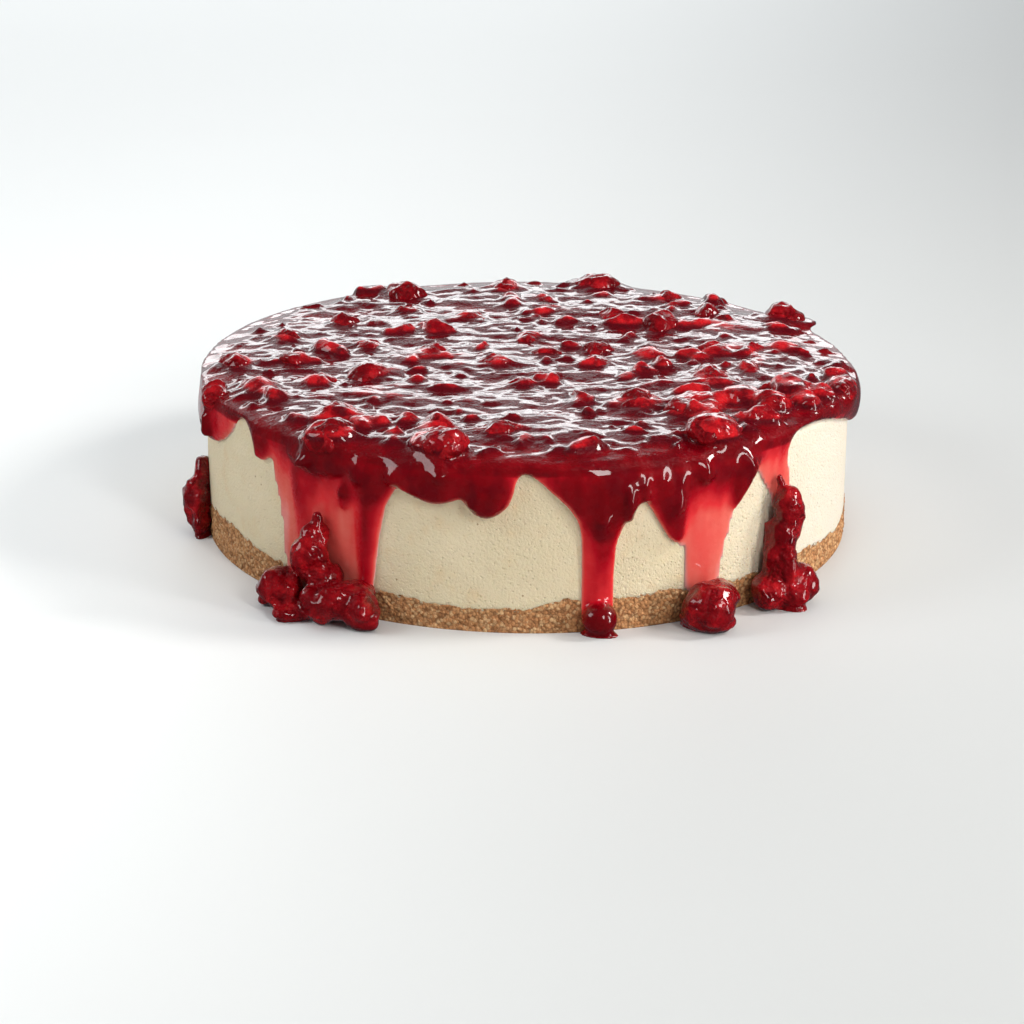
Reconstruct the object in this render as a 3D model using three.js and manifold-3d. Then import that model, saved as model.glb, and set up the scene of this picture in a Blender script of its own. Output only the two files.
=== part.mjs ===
// Baked cheesecake with a cherry topping: a crumb base, a tall cheese filling, a poured cherry
// glaze that runs down the wall in drips, whole cherries in it, and cherries fallen to the foot.
// Millimetres, +Z up, the origin at the middle of the underside, the front towards -Y.
import * as THREE from "three";
import { mergeVertices } from "three/addons/utils/BufferGeometryUtils.js";
import Module from "manifold-3d";

const wasm = await Module();
wasm.setup();

// Driving dimensions
const CAKE_RADIUS = 115;
const CRUMB_HEIGHT = 10.5;
const FILLING_TOP = 56;
const TOP_TILT = 0.016; // the top falls this much for each millimetre towards the back
const FILLING_EDGE = 4; // radius of the filling's top edge
const GLAZE_THICKNESS = 4.5;
const GLAZE_EDGE = 18; // how far in from the rim the glaze starts to roll over
const SKIRT_BOTTOM = 55.5; // where the glaze ends on the wall between two drips
const SKIRT_THICKNESS = 2;
const LIP_SWAY = 1; // the lip of the glaze wanders up and down this far
const GAP = 0.3;
const CHERRY_SINK = 1.5; // the widest part of a cherry on top lies this far under the glaze
const CRUMB_BEVEL = 1;
const CRUMB_RAGGED = 0.5; // the wall of the crumb base wanders in and out this far
const CRUMB_LEVEL = 0.8; // within this share of the radius the crumb base is level
const SHOULDER = 26; // a drip narrows from its broad top over this height
const TIP_ROUND = 7;
const DRIP_ROWS = 9;
const CRUMB_OVERLAP = 0.6;
const POOL_CORE = 45; // the pool is modelled down to here, then cut away over the filling
const FLOOR_CLEARANCE = 0.8;
const AROUND = 60; // steps round the cake

const GLAZE_LEVEL = FILLING_TOP + GLAZE_THICKNESS;
const DEGREE = Math.PI / 180;

// Height of the crumb base round the wall: [degrees from the front towards +X, height].
const CRUMB_LINE = [
  [-165, 9.5], [-135, 11.5], [-108, 9.5], [-84, 12], [-62, 14.5], [-50, 10.8], [-25, 10.5],
  [-12, 8.2], [0, 8.5], [7, 11.8], [14, 10.6], [20, 12], [40, 10.6], [58, 11.4], [72, 9],
  [98, 11.5], [124, 9.8], [150, 12],
];

// Drips on the wall: angle in degrees, width at the top and lower down, height of the tip, how
// far it stands off the wall above and at the drop, and how far the tip drifts sideways.
const DRIPS = [
  { angle: -77, top: 46, width: 30, tip: 36, thick: 3, drop: 4.4, drift: -2 },
  { angle: -64, top: 22, width: 10, tip: 46, thick: 2.6, drop: 3.2, drift: 0 },
  { angle: -52, top: 22, width: 7, tip: 43, thick: 2.6, drop: 3.4, drift: 0 },
  { angle: -36, top: 56, width: 44, tip: 7, thick: 1.1, drop: 1.1, drift: 0 },
  { angle: -39.5, top: 26, width: 9, tip: 17, thick: 2.6, drop: 2.2, drift: 0 },
  { angle: -26, top: 24, width: 8, tip: 9, thick: 2.6, drop: 2.2, drift: -2 },
  { angle: -16, top: 32, width: 20, tip: 42, thick: 3.4, drop: 4.2, drift: 0 },
  { angle: -7, top: 26, width: 13, tip: 39, thick: 3.4, drop: 5, drift: 0 },
  { angle: 11.6, top: 50, width: 12, tip: FLOOR_CLEARANCE, thick: 3.4, drop: 5, drift: 0.5 },
  { angle: 24.5, top: 24, width: 9, tip: 26, thick: 2.8, drop: 3.6, drift: 2 },
  { angle: 31, top: 44, width: 18, tip: 7, thick: 1.2, drop: 1.2, drift: 0 },
  { angle: 38, top: 24, width: 9, tip: 32, thick: 2.8, drop: 3, drift: -3 },
  { angle: 47.6, top: 22, width: 13, tip: 24, thick: 1.2, drop: 1.2, drift: 2 },
  { angle: 66, top: 44, width: 34, tip: 49, thick: 3.6, drop: 5, drift: 0 },
  { angle: 85, top: 44, width: 30, tip: 40, thick: 3.4, drop: 4.6, drift: 0 },
  { angle: 103, top: 34, width: 12, tip: 25, thick: 3, drop: 4, drift: 0 },
  { angle: 120, top: 36, width: 20, tip: 41, thick: 3, drop: 4, drift: 0 },
  { angle: 138, top: 40, width: 12, tip: 8, thick: 2.8, drop: 3, drift: 2 },
  { angle: 155, top: 34, width: 17, tip: 43, thick: 3, drop: 4.2, drift: 0 },
  { angle: 170, top: 32, width: 10, tip: 28, thick: 3, drop: 4, drift: -1 },
  { angle: 188, top: 38, width: 22, tip: 42, thick: 3, drop: 4, drift: 0 },
  { angle: 206, top: 38, width: 12, tip: 17, thick: 3, drop: 3.6, drift: 0 },
  { angle: 224, top: 34, width: 18, tip: 41, thick: 3, drop: 4, drift: 0 },
  { angle: 242, top: 36, width: 11, tip: 30, thick: 3, drop: 4, drift: 1 },
  { angle: 261, top: 40, width: 22, tip: 41, thick: 3, drop: 4, drift: 0 },
];

// The round drop at the foot of the longest run: angle, distance of its middle from the axis,
// height of the middle, and [width round the wall, depth, height].
const FOOT_DROP = { angle: 12, out: 118.5, up: 6, size: [12.5, 12, 10.4] };

// Whole cherries that stand out of the glaze on top: [x, y, width, how far they stand proud].
const TOP_CHERRIES = [
  [27, 101, 21, 6], [53, 81, 17, 4], [-9, 95, 18, 4.5], [-47, 86, 19, 4.5], [95, 58, 19, 5],
  [68, 62, 15, 3], [49, 43, 19, 5], [32, 56, 15, 3.5], [-22, 53, 17, 4], [-46, 60, 16, 3.5],
  [-68, 43, 17, 3.5], [-88, 22, 17, 4], [1, 25, 16, 3.5], [25, 11, 16, 3.5], [67, 8, 18, 4],
  [44, 3, 17, 4], [92, 14, 16, 3.5], [7, 7, 15, 3], [-35, 3, 17, 4], [-58, 12, 15, 3],
  [-82, -8, 17, 4], [-103, -12, 15, 4.5], [24, -8, 16, 3.5], [-11, -8, 16, 3.5],
  [64, -24, 20, 5], [-1, -34, 16, 3.5], [-54, -24, 20, 4.5], [-73, -34, 17, 4.5],
  [38, -56, 19, 5], [54, -64, 16, 5], [74, -50, 18, 5], [92, -44, 17, 5.5],
  [-94, -40, 17, 4.5], [-30, -84, 18, 4.5], [-9, -87, 19, 4], [-64, -74, 19, 5.5],
];

// Cherries at the rim and on the wall: angle in degrees, distance of the middle from the axis,
// height of the middle, and [width round the wall, depth, height].
const WALL_CHERRIES = [
  { angle: -71, out: 114.5, up: 56.5, size: [18, 12, 13] },
  { angle: -35, out: 113.5, up: 59.5, size: [25, 13, 17] },
  { angle: -14, out: 111, up: 62.5, size: [17, 15, 15] },
  { angle: 34.3, out: 109.5, up: 62.5, size: [23, 16, 15] },
  { angle: 74, out: 114, up: 58.5, size: [20, 13, 14] },
];

// Cherries that have slid down the wall to the foot, in the same terms.
const FOOT_CHERRIES = [
  { angle: -80, out: 118.8, up: 11.4, size: [15, 12, 23] },
  { angle: -41, out: 125.4, up: 7.8, size: [18, 18, 16.4] },
  { angle: -32.4, out: 127, up: 7.4, size: [15, 18, 15.6] },
  { angle: -25.8, out: 125, up: 7.2, size: [14.5, 16, 15.2] },
  { angle: -36.2, out: 122.2, up: 20.4, size: [17, 14, 19] },
  { angle: 29.4, out: 125.2, up: 8.2, size: [21, 19, 17] },
  { angle: 42.2, out: 122, up: 6, size: [13, 14, 12.6] },
  { angle: 48.2, out: 124.6, up: 7, size: [16, 15, 14.6] },
  { angle: 45.4, out: 120.4, up: 17.4, size: [15, 12, 14] },
  { angle: 47.4, out: 120.2, up: 30, size: [14, 11, 24] },
];

// Sunken cherries that only show as bumps under the glaze
const BUMP_TRIES = 54;
const BUMP_REACH = 104;
const BUMP_WIDTH = [11, 17];
const BUMP_PROUD = [1.4, 2.8];
const BUMP_SINK = 1;
const SEED = 11;

const random = THREE.MathUtils.seededRandom;
const { lerp, smoothstep } = THREE.MathUtils;

// ---- Helpers -------------------------------------------------------------------------------

// Moves every vertex of a geometry by a function that changes the point it is given.
function shape(geometry, move) {
  const position = geometry.getAttribute("position");
  const point = new THREE.Vector3();
  for (let i = 0; i < position.count; i += 1) {
    move(point.fromBufferAttribute(position, i));
    position.setXYZ(i, point.x, point.y, point.z);
  }
  return geometry;
}

// A solid of revolution about Z from [radius, height] points that start and end on the axis.
function turned(profile, around = AROUND) {
  const points = profile.map(([radius, height]) => new THREE.Vector2(radius, height));
  return new THREE.LatheGeometry(points, around).rotateX(Math.PI / 2);
}

// Points of a quarter ellipse from the wall up and over to the top.
function rollover(radius, top, inwards, down, steps) {
  return Array.from({ length: steps + 1 }, (_, i) => {
    const turn = (i / steps) * (Math.PI / 2);
    return [radius - inwards * (1 - Math.cos(turn)), top - down * (1 - Math.sin(turn))];
  });
}

// Angle of a point from the front towards +X, in radians.
function bearing(point) {
  return Math.atan2(point.x, -point.y);
}

// The place at an angle from the front, a distance from the axis and a height.
function placeAt(angle, out, up) {
  return new THREE.Vector3(out * Math.sin(angle), -out * Math.cos(angle), up);
}

// An uneven wave round the cake, from -1 to 1, with two counts of crests.
function sway(point, few, many) {
  return (Math.sin(few * bearing(point)) + Math.sin(many * bearing(point))) / 2;
}

function solidOf(geometry) {
  const bare = geometry.clone();
  bare.deleteAttribute("normal");
  bare.deleteAttribute("uv");
  const merged = mergeVertices(bare, 1e-3);
  return new wasm.Manifold(
    new wasm.Mesh({
      numProp: 3,
      vertProperties: merged.getAttribute("position").array,
      triVerts: new Uint32Array(merged.index.array),
    }),
  );
}

// The main body of a cut solid, without the slivers that a cut leaves beside it.
function mainBody(solid) {
  return solid.decompose().reduce((best, body) => (body.volume() > best.volume() ? body : best));
}

function geometryOf(solid) {
  const mesh = solid.getMesh();
  const geometry = new THREE.BufferGeometry();
  geometry.setAttribute("position", new THREE.BufferAttribute(mesh.vertProperties, 3));
  geometry.setIndex(new THREE.BufferAttribute(mesh.triVerts, 1));
  const faceted = geometry.toNonIndexed();
  faceted.computeVertexNormals();
  return faceted;
}

// ---- Crumb base ----------------------------------------------------------------------------

// Height of the crumb line at an angle in degrees, eased between the listed points.
function crumbLine(angle) {
  const last = CRUMB_LINE.length - 1;
  const found = CRUMB_LINE.findIndex(([at]) => at > angle);
  const next = found < 0 ? 0 : found;
  const before = next === 0 ? last : next - 1;
  const wrap = (degrees) => THREE.MathUtils.euclideanModulo(degrees, 360);
  const share = wrap(angle - CRUMB_LINE[before][0])
    / wrap(CRUMB_LINE[next][0] - CRUMB_LINE[before][0]);
  return lerp(CRUMB_LINE[before][1], CRUMB_LINE[next][1], smoothstep(share, 0, 1));
}

// Top of the base: the uneven line at the wall evens out towards the middle.
function crumbTop(point) {
  const distance = Math.hypot(point.x, point.y) / CAKE_RADIUS;
  return lerp(CRUMB_HEIGHT, crumbLine(bearing(point) / DEGREE), smoothstep(distance, CRUMB_LEVEL, 0.98));
}

// The crumb disc: a flat underside, a slightly ragged wall and the uneven top.
function crumbGeometry(grow = 0) {
  const radius = CAKE_RADIUS + grow;
  const middle = 0.5 * CRUMB_HEIGHT;
  const profile = [[0, -grow], [radius - CRUMB_BEVEL, -grow], [radius, CRUMB_BEVEL - grow],
    [radius, middle], [radius, CRUMB_HEIGHT], [radius * CRUMB_LEVEL, CRUMB_HEIGHT],
    [0, CRUMB_HEIGHT]];
  return shape(turned(profile), (point) => {
    if (point.z < 0.9 * middle) return;
    point.z *= (crumbTop(point) + grow) / CRUMB_HEIGHT;
    const atWall = smoothstep(Math.hypot(point.x, point.y), CAKE_RADIUS - 7, CAKE_RADIUS - 1);
    const ragged = 1 + (CRUMB_RAGGED * sway(point, 7, 17) * atWall) / radius;
    point.x *= ragged;
    point.y *= ragged;
  });
}

// ---- Cheese filling ------------------------------------------------------------------------

// Rings of the filling are given as heights over the crumb base, then stretched between the
// uneven crumb line and the tilted top. The underside reaches a little into the crumb base, which
// is cut out of it later.
function fillingGeometry(grow = 0) {
  const radius = CAKE_RADIUS + grow;
  const tall = FILLING_TOP - CRUMB_HEIGHT;
  const profile = [[0, 0], [radius * CRUMB_LEVEL, 0], [radius, 0],
    ...rollover(radius, tall, FILLING_EDGE, FILLING_EDGE, 2), [0, tall]];
  return shape(turned(profile), (point) => {
    const share = point.z / tall;
    const floor = crumbTop(point) - CRUMB_OVERLAP;
    const ceiling = FILLING_TOP + grow - TOP_TILT * point.y;
    point.z = lerp(floor, ceiling, share);
  });
}

// ---- Glaze ---------------------------------------------------------------------------------

// The pool on top with its rolled edge, down to the lip on the wall. Its inside reaches into
// the filling and is cut away later.
function poolGeometry(grow = 0) {
  const inner = CAKE_RADIUS - 6;
  const outer = CAKE_RADIUS + SKIRT_THICKNESS + grow;
  const top = GLAZE_LEVEL + grow;
  const lip = SKIRT_BOTTOM - grow;
  const profile = [[0, POOL_CORE], [inner, POOL_CORE], [CAKE_RADIUS - 1, lip],
    ...rollover(outer, top, GLAZE_EDGE, top - lip, 3),
    [0, top]];
  return shape(turned(profile), (point) => {
    point.z -= TOP_TILT * point.y * Math.min(1, point.z / GLAZE_LEVEL);
    const atLip = smoothstep(Math.hypot(point.x, point.y), CAKE_RADIUS - 4, CAKE_RADIUS);
    point.z += LIP_SWAY * sway(point, 9, 23) * atLip;
  });
}

// Distance from the axis at a height just inside the rolled edge, and at the wall below it.
function runRadius(height) {
  const share = (height - SKIRT_BOTTOM) / GLAZE_THICKNESS;
  const roll = GLAZE_EDGE * (1 - Math.sqrt(Math.max(0, 1 - Math.max(0, share) ** 2)));
  return CAKE_RADIUS + 0.5 * SKIRT_THICKNESS * smoothstep(share, -1, 0) - roll;
}

// One run of glaze down the wall: broad shoulders under the rim, a neck, a fuller drop and a
// round tip. A sphere is stretched to that outline and wrapped round the cake.
function dripGeometry({ angle, top, width, tip, thick, drop, drift }, grow = 0) {
  const start = GLAZE_LEVEL - 1;
  const length = start - tip + grow;
  const tipRound = Math.min(width / 2, TIP_ROUND);
  return shape(new THREE.SphereGeometry(1, 8, DRIP_ROWS).rotateX(Math.PI / 2), (point) => {
    const share = Math.acos(THREE.MathUtils.clamp(point.z, -1, 1)) / Math.PI;
    const turn = Math.atan2(point.y, point.x);
    const down = share * length;
    const narrowed = (SKIRT_BOTTOM - start + down) / Math.min(SKIRT_BOTTOM - tip, SHOULDER);
    const shoulders = (1 - THREE.MathUtils.clamp(narrowed, 0, 1)) ** 2;
    const toTip = THREE.MathUtils.clamp((length - down) / tipRound, 0, 1);
    const round = Math.min(1, DRIP_ROWS * share) * Math.sqrt(1 - (1 - toTip) ** 2);
    const half = (lerp(width, top, shoulders) / 2 + grow) * round;
    const fullness = smoothstep(share, 0.5, 0.9);
    const deep = (lerp(thick, drop, fullness) + grow) * round;
    const along = angle * DEGREE + (half * Math.cos(turn) + drift * share) / CAKE_RADIUS;
    const out = runRadius(start - down) - Math.sin(turn) * deep;
    point.copy(placeAt(along, out, start - down));
  });
}

// The drop at the foot, turned to face outwards.
function footDropGeometry(grow = 0) {
  const { angle, out, up, size } = FOOT_DROP;
  const halves = size.map((side) => side / 2 + grow);
  return new THREE.SphereGeometry(1, 12, 8)
    .rotateX(Math.PI / 2)
    .scale(...halves)
    .rotateZ(angle * DEGREE)
    .translate(...placeAt(angle * DEGREE, out, up));
}

// ---- Cherries ------------------------------------------------------------------------------

// A soft, stoned cherry: a ball pressed out of round, with a crease down one side.
function cherryGeometry(size, turn, grow = 0) {
  const halves = size.map((side) => side / 2 + grow);
  const ball = shape(new THREE.IcosahedronGeometry(1, 1), (point) => {
    const lump = 0.05 * Math.sin(3 * point.x + turn) * Math.cos(3 * point.y - turn);
    const crease = 0.14 * Math.exp(-9 * (point.x + 0.25) ** 2) * Math.max(0, point.z - 0.2);
    point.multiplyScalar(1 + lump - crease);
    point.set(point.x * halves[0], point.y * halves[1], point.z * halves[2]);
  });
  return ball.rotateZ(turn);
}

const crumbs = solidOf(crumbGeometry());
const grownCrumbs = solidOf(crumbGeometry(GAP));
const filling = solidOf(fillingGeometry()).subtract(grownCrumbs);
const grownCake = solidOf(fillingGeometry(GAP)).add(grownCrumbs);

// Every whole cherry as { name, place, size, turn }.
const cherries = [];

TOP_CHERRIES.forEach(([x, y, width, proud], i) => {
  const middle = GLAZE_LEVEL - TOP_TILT * y - CHERRY_SINK;
  cherries.push({
    name: `top_cherry_${String(i + 1).padStart(2, "0")}`,
    place: new THREE.Vector3(x, y, middle),
    size: [width, 0.9 * width, 2 * (proud + CHERRY_SINK)],
    turn: 2.4 * i,
  });
});

function standAtWall(list, label) {
  list.forEach(({ angle, out, up, size }, i) => {
    cherries.push({
      name: `${label}_${String(i + 1).padStart(2, "0")}`,
      place: placeAt(angle * DEGREE, out, up),
      size,
      turn: angle * DEGREE,
    });
  });
}

standAtWall(WALL_CHERRIES, "rim_cherry");
standAtWall(FOOT_CHERRIES, "foot_cherry");

// Each cherry is pressed against the ground, the cake, the glaze and the cherries before it.
const cherrySolids = new Map();
const ground = solidOf(new THREE.BoxGeometry(400, 400, 20).translate(0, 0, -10));
let taken = DRIPS.reduce(
  (whole, drip) => whole.add(solidOf(dripGeometry(drip, GAP))),
  grownCake.add(solidOf(poolGeometry(GAP))).add(solidOf(footDropGeometry(GAP))).add(ground),
);
for (const { name, place, size, turn } of cherries) {
  const at = (grow) => cherryGeometry(size, turn, grow).translate(...place);
  cherrySolids.set(name, mainBody(solidOf(at(0)).subtract(taken)));
  taken = taken.add(solidOf(at(GAP)));
}

// ---- Bumps and the finished glaze ----------------------------------------------------------

// Sunken cherries fill the room that the whole ones leave, one by one at random places.
function bumpPlaces() {
  const used = TOP_CHERRIES.map(([x, y, width]) => ({ x, y, half: width / 2 + GAP }));
  const bumps = [];
  for (let i = 0; i < BUMP_TRIES; i += 1) {
    const out = BUMP_REACH * Math.sqrt(random());
    const turn = 2 * Math.PI * random();
    const x = out * Math.cos(turn);
    const y = out * Math.sin(turn);
    const half = lerp(...BUMP_WIDTH, random()) / 2;
    if (used.every((other) => Math.hypot(x - other.x, y - other.y) > half + other.half)) {
      used.push({ x, y, half });
      bumps.push({ x, y, half });
    }
  }
  return bumps;
}

function bumpGeometry({ x, y, half }) {
  const proud = lerp(...BUMP_PROUD, random());
  const size = [2 * half, 1.8 * half, 2 * (proud + BUMP_SINK)];
  const middle = GLAZE_LEVEL - TOP_TILT * y - BUMP_SINK;
  return cherryGeometry(size, 2 * Math.PI * random()).translate(x, y, middle);
}

random(SEED);
const pool = solidOf(poolGeometry());
const drips = DRIPS.map((drip) => solidOf(dripGeometry(drip)));
const bumps = bumpPlaces().map((bump) => solidOf(bumpGeometry(bump)));
const footDrop = solidOf(footDropGeometry());
const poured = [...drips, footDrop, ...bumps].reduce((whole, run) => whole.add(run), pool);
const glaze = mainBody(poured.subtract(grownCake));

// ---- Assembly ------------------------------------------------------------------------------

const crumbMaterial = new THREE.MeshStandardMaterial({ color: 0x9a6a3c, roughness: 0.95 });
const fillingMaterial = new THREE.MeshStandardMaterial({ color: 0xe9dcc0, roughness: 0.7 });
const glazeMaterial = new THREE.MeshStandardMaterial({ color: 0x9c0a1c, roughness: 0.12 });
const cherryMaterial = new THREE.MeshStandardMaterial({ color: 0x7d0715, roughness: 0.25 });

function piece(name, solid, material, place = new THREE.Vector3()) {
  const geometry = geometryOf(solid).translate(-place.x, -place.y, -place.z);
  const mesh = new THREE.Mesh(geometry, material);
  mesh.name = name;
  mesh.position.copy(place);
  return mesh;
}

const cheesecake = new THREE.Group();
cheesecake.add(piece("crumb_base", crumbs, crumbMaterial));
cheesecake.add(piece("cheese_filling", filling, fillingMaterial));
cheesecake.add(piece("cherry_glaze", glaze, glazeMaterial));
for (const { name, place } of cherries) {
  cheesecake.add(piece(name, cherrySolids.get(name), cherryMaterial, place));
}

export default cheesecake;
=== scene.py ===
"""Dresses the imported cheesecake: crumb base, filling, cherry sauce, cherries and a studio."""

import math
import random

import bpy
import numpy as np
from bpy.props import FloatProperty, FloatVectorProperty, IntProperty, PointerProperty
from bpy.types import Operator, Panel, PropertyGroup
from mathutils import Matrix, Vector


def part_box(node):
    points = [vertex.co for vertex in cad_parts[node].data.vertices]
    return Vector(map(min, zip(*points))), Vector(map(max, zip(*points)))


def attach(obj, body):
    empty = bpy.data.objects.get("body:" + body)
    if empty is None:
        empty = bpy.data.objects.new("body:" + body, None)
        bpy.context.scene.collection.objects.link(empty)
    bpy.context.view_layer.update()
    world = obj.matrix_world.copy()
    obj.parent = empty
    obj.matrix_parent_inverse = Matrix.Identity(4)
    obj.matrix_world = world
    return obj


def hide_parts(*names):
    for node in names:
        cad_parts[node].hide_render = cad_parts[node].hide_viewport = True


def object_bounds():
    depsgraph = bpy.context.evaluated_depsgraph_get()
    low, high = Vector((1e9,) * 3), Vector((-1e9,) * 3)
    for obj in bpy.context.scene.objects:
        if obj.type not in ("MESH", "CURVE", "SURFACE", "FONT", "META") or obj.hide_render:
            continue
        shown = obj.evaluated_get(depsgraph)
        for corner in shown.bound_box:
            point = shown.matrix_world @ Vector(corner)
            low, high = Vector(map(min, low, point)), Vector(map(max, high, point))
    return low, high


bl_info = {
    "name": "Cherry Cheesecake",
    "version": (1, 0, 0),
    "blender": (4, 5, 0),
    "location": "View3D > Sidebar > Cheesecake",
    "description": "Models a baked cheesecake with cherry sauce around its solids",
    "category": "Add Mesh",
}

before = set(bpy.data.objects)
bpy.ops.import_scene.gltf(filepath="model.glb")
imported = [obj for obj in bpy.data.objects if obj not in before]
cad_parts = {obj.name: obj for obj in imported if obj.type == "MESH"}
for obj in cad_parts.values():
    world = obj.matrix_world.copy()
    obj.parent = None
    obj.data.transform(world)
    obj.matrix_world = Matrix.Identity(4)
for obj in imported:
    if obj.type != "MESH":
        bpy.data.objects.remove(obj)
CAD_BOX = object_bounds()

MM = 0.001
CAKE_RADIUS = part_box("cheese_filling")[1].x
SAUCE_TOP = 0.0605  # level of the sauce over the middle of the cake
FILLING_TOP = 0.056  # level of the filling under it
TOP_FALL = 0.016  # the top falls this much for each unit of length towards the back
ROLL_IN = 0.021  # the sauce starts to roll over this far in from the rim
LIP = 0.057  # where the sauce ends on the wall between two runs
SKIRT = 0.002  # how far that skirt stands off the wall
SKIRT_HEIGHT = 1.2 * MM
CRUMB_OVERLAP = 1.2 * MM  # the filling reaches this far down behind the crumbs' edge
FLOOR_GAP = 0.1 * MM  # the sauce ends this far over the floor
SEED = 7

# Runs of sauce down the wall, seen on the unrolled wall. Each is drawn down through rings of
# (height in mm, left and right edge in degrees from the front, how far it stands off in mm).
FRONT_RUNS = [
    # left lobe
    [(57.5, -96, -58, 1.4), (55, -95, -58.6, 2), (52, -94, -59.6, 2.6), (48, -93, -62, 3),
     (44.5, -91, -64.6, 3.2), (41.5, -87, -68, 2.8), (39.4, -82, -73, 1.6)],
    # pointed drip
    [(58, -57, -43, 3.2), (55, -54.8, -45, 3.8), (52, -53.4, -46.6, 3.6),
     (49, -52.4, -48, 3.2), (46.6, -51.6, -49.4, 2.4), (45.4, -51, -50, 1)],
    # wide curtain, thin lower down
    [(58, -50, -19, 3.4), (54, -49, -20.4, 3.8), (48, -48.5, -21.4, 2.4), (42, -48.5, -23.4, 1.3),
     (34, -47.2, -24.5, 1), (26, -46.3, -25, 0.9), (17, -46, -25.6, 0.9), (5, -45, -27, 0.8)],
    # strands in the curtain
    [(57, -45, -34, 2.4), (46, -43.4, -36, 3.2), (34, -42.6, -37.4, 2), (24, -42, -38, 1.6),
     (19, -41, -39, 1)],
    [(57, -33, -20.5, 2.4), (52, -32, -20.8, 4), (47, -31, -22, 3.8), (41, -29.6, -23.6, 2.8),
     (30, -29.3, -24.8, 2.4), (18, -29, -25.6, 2.2), (9, -28.8, -26.2, 2), (7, -28.4, -26.8, 1.2)],
    # bulge over a whole cherry in the curtain
    [(60.5, -42, -28, 2.6), (58, -44.6, -26.6, 4.8), (53.5, -44.6, -27, 6), (50, -42.6, -29, 5.2),
     (47.4, -39, -33, 2.6)],
    # two lobes left of the middle
    [(58, -26, -6, 3.4), (55, -24.2, -8, 4.4), (51, -22.8, -8.6, 4.8), (48, -21.4, -9.4, 4.6),
     (45.8, -18.6, -11.4, 3.8), (44.2, -16.4, -13.6, 2)],
    [(58, -14, 1, 3.4), (55.5, -12, -0.8, 4.4), (52, -11.4, -1.6, 5.2), (48, -10.8, -2.1, 5.4),
     (44.6, -10, -2.8, 5.4), (42, -8.8, -4.2, 4.2), (40.4, -7.4, -5.6, 2)],
    # the long run to the ground
    [(58.4, -5, 24, 3.4), (56, -0.2, 22.8, 4.4), (52, 2.5, 21.2, 5.2), (48, 4.8, 20, 5.6),
     (44, 6.8, 18.6, 5.6), (39.6, 8.3, 17, 5), (35.4, 8.9, 16, 4), (31, 9, 15.2, 3),
     (20, 9, 14.8, 2.1), (10, 9, 14.8, 2.1), (5, 9.2, 14.6, 2)],
    # right curtain
    [(58, 17, 45, 3.6), (53, 18.4, 43, 4), (47, 19, 41, 2.8), (42, 21, 39.2, 1.8),
     (37, 22.6, 37.4, 1.1), (31, 25.4, 36.8, 0.9), (25, 26.6, 35.9, 0.9), (16, 27, 34.8, 0.9),
     (5, 28, 33.6, 0.8)],
    [(57, 18.4, 29, 2.4), (52, 18.6, 28.8, 4.2), (46, 19.4, 28.2, 4.4), (41, 21, 27.8, 4),
     (35, 22.8, 27.3, 3.6), (31, 24, 27, 3.2), (28.6, 25.2, 26.4, 1.4)],
    [(57.5, 33, 44.4, 2.4), (54, 34.6, 43.4, 4.2), (50, 35, 42.2, 4.6), (46, 35.3, 40.8, 4.4),
     (43, 35.7, 39.6, 3.8), (39, 36.2, 38, 2.8), (36.4, 36.6, 37.4, 1.2)],
    # film drip at the right
    [(58, 39, 54, 3), (54, 41, 51, 2.2), (49, 41.6, 50.4, 1.2), (44, 43, 50.8, 1),
     (38, 45, 51.6, 0.9), (31, 46.2, 51.8, 0.9), (25, 47, 51, 0.8)],
    # heavy rim at the right
    [(58, 52, 99, 2.4), (56.5, 58, 98, 4), (54, 63.5, 97, 4.4), (51, 69, 96, 4.2),
     (48, 75, 94.6, 4), (44, 80.6, 92.6, 3.4), (40.8, 85, 89, 2)],
]

# Runs at the back, in the places of the solid's ones: angle in degrees from the front, width at
# the top and lower down, height of the tip and how far it stands off, in millimetres.
BACK_RUNS = [
    (103, 34, 12, 25, 4), (120, 36, 20, 41, 4), (138, 40, 12, 8, 3), (155, 34, 17, 43, 3.9),
    (169, 32, 10, 28, 3.8), (-172, 34, 22, 42, 3.8), (-154, 38, 12, 17, 3.6),
    (-136, 34, 18, 41, 4), (-118, 36, 11, 30, 4), (-101, 36, 20, 42, 4),
]
BACK_RUN_TOP = 55.5  # height in mm where they start
BACK_SHOULDER = 26  # height in mm of the part that narrows

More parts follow.
